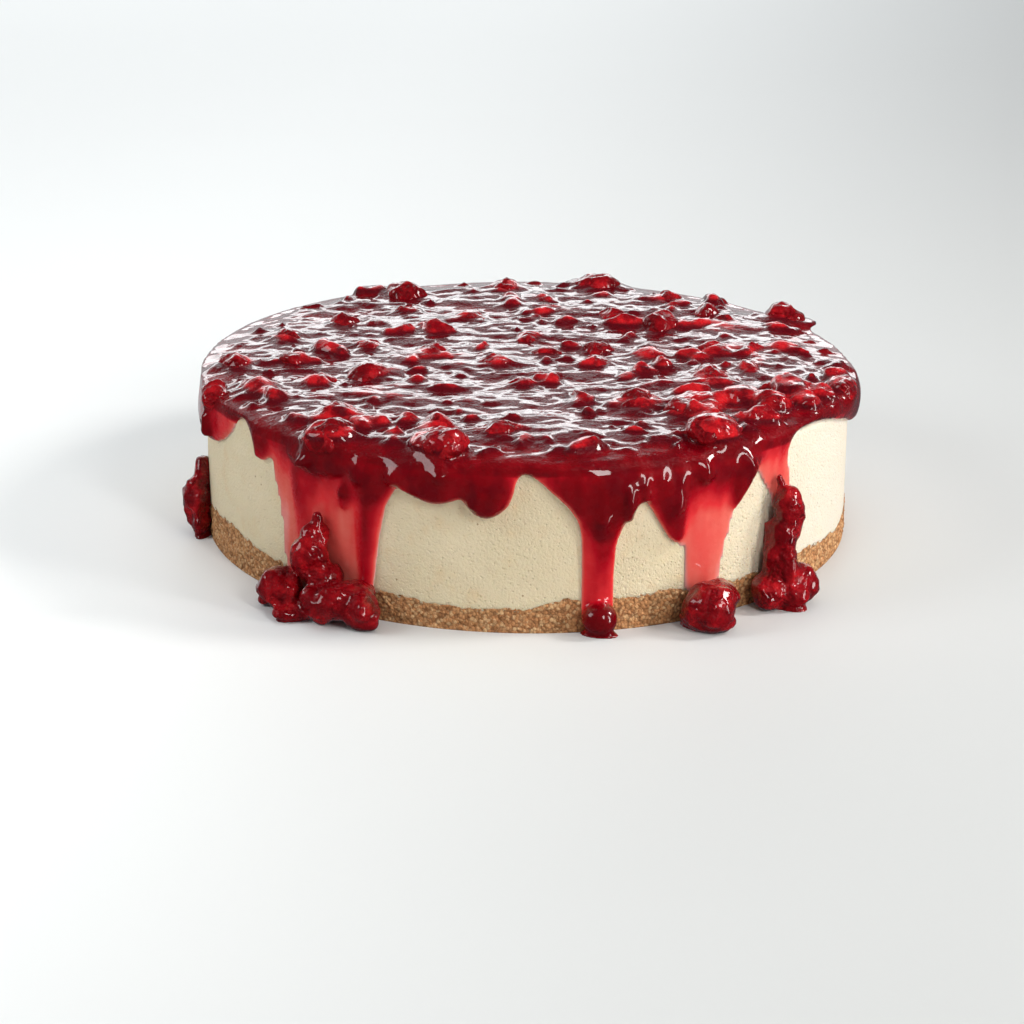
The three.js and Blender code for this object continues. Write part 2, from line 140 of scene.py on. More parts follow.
# Lumps of fruit under the sauce at the front rim: angle, distance from the axis and height of the
# middle, and half its width, depth and height, in millimetres.
FRONT_LUMPS = [
    (55.5, 101, 61.5, 8.4, 7.4, 6), (61, 109.5, 60, 7, 6, 6.4), (67, 111.5, 59.5, 6, 6, 6.4),
    (80, 111, 58, 8, 6, 6.4), (88, 109.8, 57, 7, 6, 6), (47, 82, 61.6, 10, 8, 4.6),
    (40, 92, 61.6, 9, 7, 5), (26, 105, 59.5, 8, 7, 5), (48, 107, 59.5, 7.6, 6, 6),
    (66, 100, 62, 9, 8, 5), (56, 90, 62, 9, 8, 5),
    (18, 88, 60.5, 5, 4, 3), (14, 95, 60, 4, 4, 3), (-5, 104, 58.5, 7, 7, 4.4),
    (-1, 98, 60.5, 9, 6, 3.6), (7, 106, 60, 8, 6, 3), (18, 109, 58.5, 6, 5, 4),
    (-13, 108, 59, 7, 6, 4.6), (-19, 101, 60.5, 8, 6, 4), (-33, 98, 61, 9, 7, 4),
    (-25, 108, 58.5, 7, 7, 4.6), (-45, 107, 59, 8, 6, 4), (-54, 106, 58, 8, 6, 4),
    (-64, 108, 58, 7, 6, 4), (34, 106, 59.5, 8, 6, 4.6), (42, 110, 58.5, 6, 6, 5),
    # on the wall
    (-13, 116.2, 55, 7, 5, 5), (-21, 115.6, 53.4, 6.4, 4.8, 5.4), (-28.6, 116.6, 51, 5, 4.6, 7),
    (-37, 116.6, 53.4, 8, 5, 6), (-6.6, 117, 48.6, 6, 4.6, 5.4), (-16, 116, 49.6, 5, 4, 4),
    (-31, 116, 44, 3.6, 4, 7), (30, 116, 54, 5, 4.4, 5), (38.4, 116.6, 51.4, 5, 4.6, 7),
    (25, 116.4, 44, 4, 4.4, 9), (9, 115.4, 51, 4, 4.4, 7), (16.6, 117, 47, 3.8, 4.6, 8),
    (19.6, 116.8, 50.4, 2.4, 4.2, 6), (22.6, 116.6, 54, 2.2, 4.2, 5),
    (26.4, 116.6, 53, 2.2, 4.2, 6), (12.4, 116.6, 40, 4.4, 5, 8), (-51, 115.4, 52, 4, 4, 6),
    (-70, 116.4, 48, 5, 4.6, 6),
]

# Fruit and sauce that join the cherries at the foot, in the same terms.
FOOT_LUMPS = [
    # left cluster: tip and body of the upper cherry, nubs of the left one, the broad right one
    (-35.8, 119, 32.4, 2.6, 2.6, 4), (-36, 120, 27, 5.4, 4.6, 6), (-46, 123.4, 4.4, 3.6, 3, 3.2),
    (-43.8, 126.6, 3, 3.4, 3, 3), (-24.4, 125, 5, 4, 4.4, 5), (-29, 123.8, 8.6, 12, 7, 7),
    (-36, 123, 3, 15, 6.4, 3.4), (-33.4, 121.4, 14, 7, 4.6, 5),
    # far left
    (-81, 117, 21, 6, 3.7, 7), (-80, 117.1, 5, 9.4, 4, 5.6), (-80, 117.2, 12, 8.4, 4, 8),
    # right of the middle
    (29.4, 124.4, 3.4, 10, 8.4, 3.6), (31.4, 124.6, 11, 6.6, 6.4, 5.4),
    # right column
    (46.2, 118.2, 41, 1.6, 1.6, 4.4), (46.4, 119, 35, 3.8, 3.2, 7), (45.8, 120, 23, 6.8, 5, 9),
    (45.3, 121.6, 13, 8, 6, 7), (45.4, 122.4, 5, 11, 7, 5),
]

# The round drop at the foot of the long run, in the same terms.
LONG_RUN_DROP = (12, 118.3, 5.9, 6.2, 5.8, 5.3)

# Thin puddles of sauce on the ground: angle, distance from the axis, half width and half depth.
LONG_RUN_PUDDLE = (12, 118.2, 6.6, 3.6)
PUDDLES = [(-36, 122, 14, 5.4), LONG_RUN_PUDDLE, (29.4, 122.2, 9, 6.6),
           (45.6, 120.8, 12, 6), (-80, 116.6, 9, 3.4)]

RIM_LUMPS = 90  # random lumps round the rim
LISTED_FROM, LISTED_TO = -68, 92  # angles between which the listed lumps stand instead


# ---- Settings shown in the sidebar ----------------------------------------------------------


class CheesecakeSettings(PropertyGroup):
    """Sizes and colours of the cheesecake that a user may change."""

    voxel: FloatProperty(
        name="Sauce detail", description="Grid that the sauce is fused on",
        default=1.0 * MM, min=0.6 * MM, unit="LENGTH", precision=5,
    )
    ripple: FloatProperty(
        name="Ripple height", description="How far the top of the sauce rises and falls",
        default=1.0 * MM, unit="LENGTH", precision=5,
    )
    sunk: IntProperty(
        name="Sunken cherries", description="Cherries that only show as bumps in the sauce",
        default=520, min=0,
    )
    pores: FloatProperty(
        name="Filling unevenness", description="Depth of the dents in the filling's wall",
        default=0.35 * MM, unit="LENGTH", precision=5,
    )
    grain: FloatProperty(
        name="Crumb relief", description="How coarse the crumb base is",
        default=1.1 * MM, unit="LENGTH", precision=5,
    )
    sauce_deep: FloatVectorProperty(
        name="Deep sauce", description="Colour of the sauce where it is thick",
        default=(0.20, 0.001, 0.004), subtype="COLOR", min=0, max=1,
    )
    sauce_thin: FloatVectorProperty(
        name="Thin sauce", description="Colour of a film of sauce on the filling",
        default=(0.66, 0.125, 0.095), subtype="COLOR", min=0, max=1,
    )
    filling: FloatVectorProperty(
        name="Filling", description="Colour of the baked cheese",
        default=(0.68, 0.575, 0.385), subtype="COLOR", min=0, max=1,
    )
    crumb: FloatVectorProperty(
        name="Crumb", description="Colour of the crumb base",
        default=(0.49, 0.215, 0.082), subtype="COLOR", min=0, max=1,
    )
    floor: FloatVectorProperty(
        name="Floor", description="Colour of the floor",
        default=(0.93, 0.94, 0.93), subtype="COLOR", min=0, max=1,
    )


# ---- Small helpers for modelling ------------------------------------------------------------


def pick(*objects):
    """Selects these objects alone and makes the first one active."""
    bpy.ops.object.select_all(action="DESELECT")
    for thing in objects:
        thing.select_set(True)
    bpy.context.view_layer.objects.active = objects[0]
    return objects[0]


def edit(thing):
    pick(thing)
    bpy.ops.object.mode_set(mode="EDIT")


def pick_none(mesh):
    for parts in (mesh.vertices, mesh.edges, mesh.polygons):
        parts.foreach_set("select", [False] * len(parts))


def edit_edges(thing, wanted):
    """Enters edit mode with those edges alone picked whose two ends pass a test."""
    mesh = thing.data
    pick_none(mesh)
    for edge in mesh.edges:
        edge.select = wanted([mesh.vertices[end].co for end in edge.vertices])
    bpy.context.tool_settings.mesh_select_mode = (False, True, False)
    edit(thing)


def edit_underside(thing):
    """Enters edit mode with the faces alone picked that look down."""
    pick_none(thing.data)
    for face in thing.data.polygons:
        face.select = face.normal.z < -0.9
    bpy.context.tool_settings.mesh_select_mode = (False, False, True)
    edit(thing)


def leave_edit():
    bpy.ops.object.mode_set(mode="OBJECT")
    return bpy.context.object


def finish_modifier(thing, kind, **settings):
    """Adds a modifier, sets it and applies it."""
    pick(thing)
    modifier = thing.modifiers.new(kind.title(), kind)
    for name, value in settings.items():
        setattr(modifier, name, value)
    bpy.ops.object.modifier_apply(modifier=modifier.name)


def joined(things, name):
    """Joins objects into one that sits at the origin."""
    whole = pick(*things)
    if len(things) > 1:
        bpy.ops.object.join()
    whole.name = name
    whole.data.name = name
    bpy.ops.object.transform_apply(location=True, rotation=True, scale=True)
    return whole


def outward(thing):
    """Turns all faces outwards."""
    edit(thing)
    bpy.ops.mesh.select_all(action="SELECT")
    bpy.ops.mesh.normals_make_consistent(inside=False)
    leave_edit()
    return thing


def weigh(thing, name, weight_of):
    """Gives a vertex group, in tenths, whose weights come from a function of all the points."""
    weights = np.clip(weight_of(points_of(thing)), 0, 1)
    group = thing.vertex_groups.new(name=name)
    half_step = 0.05 + 1e-6
    for step in np.linspace(0, 1, 11)[1:]:
        chosen = np.nonzero(np.abs(weights - step) < half_step)[0]
        group.add(chosen.tolist(), float(step), "REPLACE")
    return name


def points_of(thing):
    flat = np.zeros(len(thing.data.vertices) * 3)
    thing.data.vertices.foreach_get("co", flat)
    return flat.reshape(-1, 3)


def place_points(thing, points):
    thing.data.vertices.foreach_set("co", points.astype(np.float32).ravel())
    thing.data.update()


def from_axis(points):
    return np.hypot(points[:, 0], points[:, 1])


def turns_of(points):
    """Angles of points round the axis, from the front."""
    return np.arctan2(points[:, 0], -points[:, 1])


def untilted(points):
    """Heights of points as they would be if the top were level."""
    return points[:, 2] + TOP_FALL * points[:, 1]


def at_wall(points):
    return from_axis(points) > 0.9 * CAKE_RADIUS


def clouds(name, size, depth=2, hard=False):
    """A procedural cloud texture whose patches are about this large."""
    texture = bpy.data.textures.new(name, "CLOUDS")
    texture.noise_scale = size
    texture.noise_depth = depth
    texture.noise_type = "HARD_NOISE" if hard else "SOFT_NOISE"
    return texture


def creases(name, size):
    """A procedural texture of ridges, like the folds of a soft skin."""
    texture = bpy.data.textures.new(name, "MUSGRAVE")
    texture.musgrave_type = "RIDGED_MULTIFRACTAL"
    texture.noise_scale = size
    texture.dimension_max = 1.2
    texture.octaves = 2
    texture.gain = 1
    return texture


def pebbles(name, size):
    """A procedural texture of rounded cells."""
    texture = bpy.data.textures.new(name, "VORONOI")
    texture.noise_scale = size
    texture.distance_metric = "DISTANCE"
    return texture


def relief(thing, texture, strength, group="", middle=0.5, direction="NORMAL", stretch=(1, 1, 1)):
    """Displaces a piece by a texture that an empty stretches along the axes."""
    bpy.ops.object.select_all(action="DESELECT")
    bpy.ops.object.empty_add(location=(0, 0, 0))
    guide = bpy.context.object
    guide.scale = stretch
    bpy.context.view_layer.update()
    finish_modifier(
        thing, "DISPLACE", texture=texture, strength=strength, mid_level=middle,
        texture_coords="OBJECT", texture_coords_object=guide, vertex_group=group,
        direction=direction,
    )
    bpy.data.objects.remove(guide)


def top_level(level, y):
    """Height of a level of the cake at a distance towards the back."""
    return level - TOP_FALL * y


def on_wall(angle, out, height):
    """The point at an angle in degrees from the front, a distance from the axis and a height."""
    turn = math.radians(angle)
    return Vector((out * math.sin(turn), -out * math.cos(turn), height))


def put(thing, slot, *nodes):
    """Hangs a finished piece under the root body and hides the solids that it replaces."""
    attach(thing, "root")
    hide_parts(*nodes)


def nodes_like(start):
    return sorted(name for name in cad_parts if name.startswith(start))


# ---- Materials ------------------------------------------------------------------------------


class Wire:
    """An output of a node. Arithmetic on it adds the Math nodes that it needs."""

    def __init__(self, tree, socket):
        self.tree = tree
        self.socket = socket

    def math(self, operation, *values):
        inputs = dict(enumerate(values))
        return add_node(self.tree, "ShaderNodeMath", {"operation": operation}, inputs)

    def __add__(self, other):
        return self.math("ADD", self, other)

    def __sub__(self, other):
        return self.math("SUBTRACT", self, other)

    def __rsub__(self, other):
        return self.math("SUBTRACT", other, self)

    def __mul__(self, other):
        return self.math("MULTIPLY", self, other)

    def __truediv__(self, other):
        return self.math("DIVIDE", self, other)

    def __pow__(self, other):
        return self.math("POWER", self, other)

    __radd__ = __add__
    __rmul__ = __mul__

    def larger(self, other):
        return self.math("MAXIMUM", self, other)

    def between(self, low, high):
        """0 below low, 1 above high and smooth in between."""
        settings = {"interpolation_type": "SMOOTHSTEP"}
        inputs = {"Value": self, "From Min": low, "From Max": high, "To Min": 0.0, "To Max": 1.0}
        return add_node(self.tree, "ShaderNodeMapRange", settings, inputs)


def add_node(tree, kind, settings=None, inputs=None, output=0):
    """Adds a node with its settings, a ramp's stops among them, and its input values or wires."""
    node = tree.nodes.new(kind)
    for name, value in (settings or {}).items():
        if name == "stops":
            set_stops(node.color_ramp, value)
        else:
            setattr(node, name, value)
    for key, value in (inputs or {}).items():
        if isinstance(value, Wire):
            tree.links.new(value.socket, node.inputs[key])
        else:
            node.inputs[key].default_value = value
    return Wire(tree, node.outputs[output])


def set_stops(ramp, stops):
    while len(ramp.elements) < len(stops):
        ramp.elements.new(0.5)
    for element, (position, colour) in zip(ramp.elements, stops):
        element.position = position
        element.color = (*colour, 1)


class Paint:
    """A new material with its tree, its shader and the coordinates of the object."""

    def __init__(self, name, **constants):
        self.material = bpy.data.materials.new(name)
        self.material.use_nodes = True
        self.tree = self.material.node_tree
        self.shader = self.tree.nodes["Principled BSDF"]
        for key, value in constants.items():
            self.shader.inputs[key.replace("_", " ")].default_value = value
        self.place = self.node("ShaderNodeTexCoord", output="Object")
        self.x, self.y, self.z = (
            self.node("ShaderNodeSeparateXYZ", inputs={0: self.place}, output=axis)
            for axis in range(3)
        )

    def node(self, kind, settings=None, inputs=None, output=0):
        return add_node(self.tree, kind, settings, inputs, output)

    def feed(self, socket, wire):
        self.tree.links.new(wire.socket, self.shader.inputs[socket])

    def noise(self, size, detail=3.0, rough=0.55, place=None):
        inputs = {"Vector": place or self.place, "Scale": 1 / size, "Detail": detail,
                  "Roughness": rough}
        return self.node("ShaderNodeTexNoise", inputs=inputs)

    def cells(self, size, feature="F1", output="Distance"):
        inputs = {"Vector": self.place, "Scale": 1 / size}
        return self.node("ShaderNodeTexVoronoi", {"feature": feature}, inputs, output)

    def stretched(self, scale):
        """The object's coordinates, stretched by a scale on each axis."""
        inputs = {"Vector": self.place, "Scale": scale}
        return self.node("ShaderNodeMapping", {"vector_type": "TEXTURE"}, inputs)

    def ramp(self, wire, *stops):
        return self.node("ShaderNodeValToRGB", {"stops": stops}, {0: wire})

    def blend(self, factor, below, above):
        """Mixes two colours, whose sockets come after those for values and vectors."""
        inputs = {0: factor, 6: opaque(below), 7: opaque(above)}
        return self.node("ShaderNodeMix", {"data_type": "RGBA"}, inputs, output=2)

    def bump(self, height, distance):
        return self.node("ShaderNodeBump", inputs={"Height": height, "Distance": distance})

    def from_axis(self):
        return (self.x * self.x + self.y * self.y) ** 0.5


def opaque(colour):
    return colour if isinstance(colour, Wire) else (*colour, 1)


def dimmed(colour, share):
    """A darker colour."""
    return tuple(share * part for part in colour)


def dress(thing, material):
    """Gives a piece its one material and smooth shading."""
    thing.data.materials.clear()
    thing.data.materials.append(material)
    pick(thing)
    bpy.ops.object.shade_smooth()


def glossy(name):
    """Paint for wet fruit and sauce: the gloss is a thin clear coat over a softer colour."""
    return Paint(name, Coat_Weight=1.0, Coat_Roughness=0.03, Coat_IOR=1.33,
                 Specular_IOR_Level=0.05, Subsurface_Weight=0.1, Subsurface_Scale=0.003,
                 Subsurface_Radius=(1.0, 0.12, 0.08))


def sauce_material(settings):
    """Clear cherry sauce: pale where it is a film, deep crimson where it is thick."""
    paint = glossy("sauce")
    # thickness in millimetres, on the wall and on top, and at least this much in the rolled edge
    off_wall = (paint.from_axis() - CAKE_RADIUS) * 1000
    over_top = (paint.z + paint.y * TOP_FALL - SAUCE_TOP) * 1000
    depth = off_wall.larger(over_top + (SAUCE_TOP - FILLING_TOP) / MM)
    depth = depth.larger(over_top.between(-9, -5.5) * 4.6)
    mottle = paint.noise(13 * MM, detail=2)
    streaks = paint.noise(5 * MM, detail=1, place=paint.stretched((1, 1, 7)))
    depth = depth * (mottle * 0.9 + streaks * 0.9 + 0.1)
    thin = tuple(settings.sauce_thin)
    deep = tuple(settings.sauce_deep)
    colour = paint.ramp(
        depth / 7,
        (0.0, tuple(0.5 * part + 0.35 for part in thin)),
        (0.09, thin),
        (0.19, (0.60, 0.026, 0.03)),
        (0.33, (0.35, 0.002, 0.009)),
        (0.46, (0.20, 0.0008, 0.004)),
        (0.85, dimmed(deep, 0.6)),
    )
    # dark fruit that shows through the thick sauce, and painted shade of the lumps in it
    inside = paint.noise(11 * MM, detail=2, rough=0.6)
    fruit = inside.between(0.46, 0.56) * depth.between(2.4, 4)
    colour = paint.blend(fruit * 0.45, colour, (0.08, 0.0, 0.003))
    # the pool on top, with bright flesh where a lump rises out of it
    lumps = over_top.between(0.3, 1.6) * paint.noise(9 * MM).between(0.3, 0.5)
    flesh = paint.noise(5 * MM, detail=3).between(0.36, 0.64)
    flesh = paint.blend(flesh, (0.19, 0.0008, 0.004), (0.50, 0.009, 0.013))
    pool = paint.blend(lumps, (0.085, 0.001, 0.004), flesh)
    colour = paint.blend(over_top.between(-1.6, -0.2), colour, pool)
    paint.feed("Base Color", colour)
    paint.feed("Roughness", paint.noise(3 * MM).between(0.3, 0.8) * 0.2 + 0.2)
    # fine waves, mostly on top
    on_top = paint.z.between(FILLING_TOP - 0.5 * MM, SAUCE_TOP - 0.5 * MM)
    along = paint.stretched((1.6, 1, 1))
    fine = paint.noise(2.2 * MM, detail=4, rough=0.6, place=along)
    wide = paint.noise(6 * MM, detail=2, place=along)
    small = paint.noise(1.1 * MM, detail=2, place=along)
    height = (wide * 1.2 + fine * 1.2 + small * 0.35) * (on_top * 0.9 + 0.1)
    paint.feed("Normal", paint.bump(height, 0.7 * MM))
    return paint.material


def cherry_material(settings):
    """Soft dark cherries with creased skin, wet with sauce."""
    paint = glossy("cherry")
    deep = tuple(settings.sauce_deep)
    flesh = paint.noise(7 * MM, detail=4, rough=0.6)
    colour = paint.ramp(flesh, (0.3, dimmed(deep, 0.5)), (0.5, deep),
                        (0.72, (0.44, 0.008, 0.012)))
    # painted shade: the skin is darkened towards the edges of its cells, as shade in its folds
    folds = paint.cells(3.4 * MM, "SMOOTH_F1")
    colour = paint.blend(folds.between(0.35, 0.8) * 0.5, colour, (0.07, 0.0, 0.002))
    paint.feed("Base Color", colour)
    paint.feed("Roughness", paint.noise(3 * MM).between(0.3, 0.8) * 0.2 + 0.22)
    crinkled = paint.noise(9 * MM, detail=1).between(0.46, 0.56)
    crinkle = paint.cells(1.5 * MM, "SMOOTH_F1")
    height = paint.noise(2.6 * MM, detail=3) * 0.9 - crinkle * crinkled * 1.3
    paint.feed("Normal", paint.bump(height, 1.3 * MM))
    return paint.material


def filling_material(settings):
    """Baked soft cheese: pale cream, fine pores, a little tan in patches."""
    paint = Paint("filling", Subsurface_Weight=0.25, Subsurface_Scale=0.006,
                  Subsurface_Radius=(1.0, 0.6, 0.35), Specular_IOR_Level=0.35)
    cream = tuple(settings.filling)
    colour = paint.blend(paint.noise(22 * MM, detail=4).between(0.4, 0.7) * 0.5, cream,
                         (0.74, 0.63, 0.44))
    patches = paint.noise(9 * MM, detail=5, rough=0.6).between(0.52, 0.75)
    colour = paint.blend(patches * 0.5, colour, (0.66, 0.48, 0.27))
    # painted light: the filling's right side is painted paler and whiter, as if lit more strongly
    # from the right
    colour = paint.blend(paint.x.between(0.05, 0.11) * 0.8, colour, (0.69, 0.63, 0.54))
    speck = paint.cells(4.2 * MM)
    dark = 1 - speck.between(0.05, 0.12)
    rare = paint.noise(11 * MM).between(0.54, 0.6)
    colour = paint.blend(dark * rare * 0.8, colour, (0.26, 0.15, 0.06))
    paint.feed("Base Color", colour)
    paint.feed("Roughness", paint.noise(5 * MM) * 0.2 + 0.5)
    pores = paint.cells(1.5 * MM).between(0.0, 0.35)
    grain = paint.noise(0.9 * MM, detail=3, rough=0.6)
    soft = paint.noise(4 * MM, detail=3)
    height = pores * 0.6 + grain * 1.0 + soft * 0.6
    paint.feed("Normal", paint.bump(height, 0.55 * MM))
    return paint.material


def crumb_material(settings):
    """Pressed biscuit crumbs: brown grains of several shades, with painted shade in the gaps
    between them.
    """
    paint = Paint("crumb", Specular_IOR_Level=0.3)
    brown = tuple(settings.crumb)
    size = 1.1 * MM
    grains = paint.cells(size)
    shade = paint.node("ShaderNodeSeparateColor", inputs={0: paint.cells(size, output="Color")})
    # grains vary in their own tone, and the palest stop is partly painted highlight, light caught
    # by some grains
    colour = paint.ramp(shade, (0.0, dimmed(brown, 0.5)), (0.3, brown),
                        (0.65, (0.52, 0.26, 0.11)), (0.92, (0.64, 0.40, 0.20)))
    patch = paint.noise(9 * MM, detail=4).between(0.4, 0.65)
    colour = paint.blend(patch * 0.5, colour, (0.50, 0.25, 0.10))
    # painted shade: the recessed gaps between the grains are darkened
    gap_shade = grains.between(0.4, 0.8)
    colour = paint.blend(gap_shade * 0.55, colour, (0.12, 0.045, 0.015))
    paint.feed("Base Color", colour)
    paint.feed("Roughness", paint.noise(2 * MM) * 0.3 + 0.6)
    height = (1 - grains) * 0.8 + paint.noise(0.8 * MM, detail=4) * 0.6
    paint.feed("Normal", paint.bump(height, 0.7 * MM))
    return paint.material


# ---- Crumb base -----------------------------------------------------------------------------


def crumb_line():
    """Angles and heights of the top of the crumb base at the wall, read from its solid."""
    points = points_of(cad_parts["crumb_base"])
    beside_wall = from_axis(points) > CAKE_RADIUS - 1.2 * MM
    upper = points[:, 2] > 7.7 * MM
    rim = points[beside_wall & upper]
    angles = turns_of(rim)
    order = np.argsort(angles)
    return angles[order], rim[order, 2]


def line_height(points, line):
    return np.interp(turns_of(points), line[0], line[1], period=2 * math.pi)


def wall_cylinder(name, sides, rows, radius, low, high):
    """A cylinder whose wall is cut into rows."""
    bpy.ops.object.select_all(action="DESELECT")
    bpy.ops.mesh.primitive_cylinder_add(
        vertices=sides, radius=radius, depth=high - low, end_fill_type="NGON",
        location=(0, 0, (low + high) / 2),
    )
    cylinder = bpy.context.object
    bpy.ops.object.transform_apply(location=True, rotation=True, scale=True)
    edit_edges(cylinder, lambda ends: abs(ends[0].z - ends[1].z) > 0.5 * (high - low))
    bpy.ops.mesh.subdivide(number_cuts=rows - 1)
    leave_edit()
    cylinder.name = name
    return cylinder


class CHEESECAKE_OT_crumb_base(Operator):
    """Models the pressed crumb base with its rough wall"""

    bl_idname = "cheesecake.crumb_base"
    bl_label = "Crumb base"

    def execute(self, context):
        settings = context.scene.cheesecake
        height = 12 * MM
        base = wall_cylinder("crumb_base_rough", 2400, 28, CAKE_RADIUS, 0, height)
        points = points_of(base)
        turns = turns_of(points)
        waves = sum(np.sin(count * turns + count) for count in (41, 67, 113, 181))
        points[:, 2] *= line_height(points, crumb_line()) * (1.0 + 0.025 * waves) / height
        place_points(base, points)
        low = 0.8 * MM  # the relief sets in over this height, so that the foot stays flat
        wall = weigh(base, "wall", lambda p: at_wall(p)
                     * np.clip((p[:, 2] - 0.1 * low) / low, 0, 1))
        relief(base, clouds("crumb lumps", 5 * MM, 3), 1.0 * settings.grain, wall, 0.45)
        relief(base, pebbles("crumb grains", 1.5 * MM), 0.8 * settings.grain, wall, 0.5)
        relief(base, clouds("crumb grit", 0.8 * MM, 3, True), 0.6 * settings.grain, wall, 0.5)
        dress(base, crumb_material(settings))
        put(base, "crumb", "crumb_base")
        return {"FINISHED"}


# ---- Cheese filling -------------------------------------------------------------------------


class CHEESECAKE_OT_filling(Operator):
    """Models the tall baked filling between the crumb line and the sauce"""

    bl_idname = "cheesecake.filling"
    bl_label = "Cheese filling"

    def execute(self, context):
        settings = context.scene.cheesecake
        filling = wall_cylinder("cheese_filling_soft", 720, 40, CAKE_RADIUS, 0, 1)
        points = points_of(filling)
        share = points[:, 2].copy()
        lowest = line_height(points, crumb_line()) - CRUMB_OVERLAP
        highest = top_level(FILLING_TOP, points[:, 1])
        points[:, 2] = lowest + (highest - lowest) * share
        # a round upper edge, and a foot drawn in a little behind the crumbs
        edge = np.clip((share - 0.94) / 0.06, 0, 1)
        foot = np.clip((0.03 - share) / 0.03, 0, 1)
        drawn_in = 3 * MM * (1 - np.sqrt(1 - edge**2)) + 0.3 * MM * foot
        points[:, :2] *= (1 - drawn_in / CAKE_RADIUS)[:, None]
        place_points(filling, points)
        wall = weigh(filling, "wall", at_wall)
        relief(filling, clouds("filling waves", 22 * MM, 2), 0.5 * settings.pores, wall, 0.9)
        relief(filling, clouds("filling dents", 4 * MM, 3), 0.7 * settings.pores, wall, 0.8)
        dress(filling, filling_material(settings))
        put(filling, "filling", "cheese_filling")
        return {"FINISHED"}


# ---- Sauce ----------------------------------------------------------------------------------

RUN_SIDES = 20


def pour_run(rings):
    """Draws an ellipse down the unrolled wall from ring to ring, and closes it."""

    def measures(ring):
        height, left, right, thick = ring
        middle = CAKE_RADIUS * math.radians((left + right) / 2)
        half = CAKE_RADIUS * math.radians(right - left) / 2
        return Vector((middle, 0, height * MM)), half, thick * MM

    centre, half, thick = measures(rings[0])
    bpy.ops.mesh.primitive_circle_add(vertices=RUN_SIDES, radius=1, fill_type="NGON",
                                      location=centre)
    bpy.ops.transform.resize(value=(half, thick, 1), center_override=centre)
    for ring in rings[1:]:
        below, next_half, next_thick = measures(ring)
        bpy.ops.mesh.extrude_region_move(TRANSFORM_OT_translate={"value": below - centre})
        scale = (next_half / half, next_thick / thick, 1)
        bpy.ops.transform.resize(value=scale, center_override=below)
        centre, half, thick = below, next_half, next_thick


def back_rings(angle, top, width, tip, thick):
    """Rings of a funnel-shaped run: broad under the rim, a neck and a round drop."""
    shoulder = min(BACK_RUN_TOP - tip, BACK_SHOULDER)
    rings = []
    for share in (0, 0.2, 0.4, 0.65, 1):
        wide = width + (top - width) * (1 - share) ** 2
        if BACK_RUN_TOP - tip > shoulder or share < 1:
            half = math.degrees(wide * MM / 2 / CAKE_RADIUS)
            rings.append((BACK_RUN_TOP - share * shoulder, angle - half, angle + half,
                          2 + (thick - 2) * min(1, 2 * share)))
    half = math.degrees(width * MM / 2 / CAKE_RADIUS)
    round_end = min(width / 2, 6)
    for up, part in ((1, 1), (0.45, 0.84), (0.12, 0.48), (0, 0.16)):
        height = tip + up * round_end
        if height < rings[-1][0] - 0.5:
            rings.append((height, angle - part * half, angle + part * half, part * thick))
    return rings


ALL_RUNS = FRONT_RUNS + [back_rings(*run) for run in BACK_RUNS]


def unrolled_skirt():
    """The skirt and all runs on the unrolled wall, with its middle over the front."""
    around = 2 * math.pi * CAKE_RADIUS
    bpy.ops.object.select_all(action="DESELECT")
    bpy.ops.mesh.primitive_grid_add(x_subdivisions=240, y_subdivisions=1, size=1,
                                    location=(0, 0, 0))
    skirt = bpy.context.object
    edit(skirt)
    bpy.ops.mesh.select_all(action="SELECT")
    bpy.ops.transform.resize(value=(around, 2 * SKIRT, 1), center_override=(0, 0, 0))
    bpy.ops.transform.translate(value=(0, 0, LIP))
    bpy.ops.mesh.extrude_region_move(TRANSFORM_OT_translate={"value": (0, 0, SKIRT_HEIGHT)})
    leave_edit()
    points = points_of(skirt)
    points[:, 2] += TOP_FALL * CAKE_RADIUS * np.cos(points[:, 0] / CAKE_RADIUS)
    place_points(skirt, points)
    edit(skirt)
    for rings in ALL_RUNS:
        bpy.ops.mesh.select_all(action="DESELECT")
        pour_run(rings)
    leave_edit()
    return outward(skirt)


def poured_top():
    """The sauce on top: a disc with a rounded, rolled edge, tilted like the cake.

    Its underside is sunk into the filling, so that cutting out the cake's room removes it.
    """
    height = SAUCE_TOP - LIP
    bpy.ops.object.select_all(action="DESELECT")
    bpy.ops.mesh.primitive_cylinder_add(
        vertices=240, radius=CAKE_RADIUS + SKIRT, depth=ROLL_IN, end_fill_type="NGON",
        location=(0, 0, 0),
    )
    disc = bpy.context.object
    # rounded as wide as it is high, then pressed to its height
    edit_edges(disc, lambda ends: all(end.z > 0 for end in ends))
    bpy.ops.mesh.bevel(offset=0.98 * ROLL_IN, segments=10, profile=0.4, affect="EDGES")
    bpy.ops.mesh.select_all(action="SELECT")
    bpy.ops.transform.resize(value=(1, 1, height / ROLL_IN), center_override=(0, 0, 0))
    leave_edit()
    edit_underside(disc)
    bpy.ops.mesh.inset(thickness=2 * SKIRT)
    bpy.ops.transform.translate(value=(0, 0, FILLING_TOP - LIP - 2 * MM))
    leave_edit()
    disc.location = (0, 0, (SAUCE_TOP + LIP) / 2)
    disc.rotation_euler = (-math.atan(TOP_FALL), 0, 0)
    return disc


SUNK_SMALLEST, SUNK_SPREAD = 1.9, 6.3  # half widths in mm: the smallest, and up to this more
SUNK_SPACING = 0.7  # least distance between two, as a share of their half widths
SPARSE_FROM = 0.02  # this far back from the middle they become fewer
SPARSE_SHARE = 0.45  # by this share


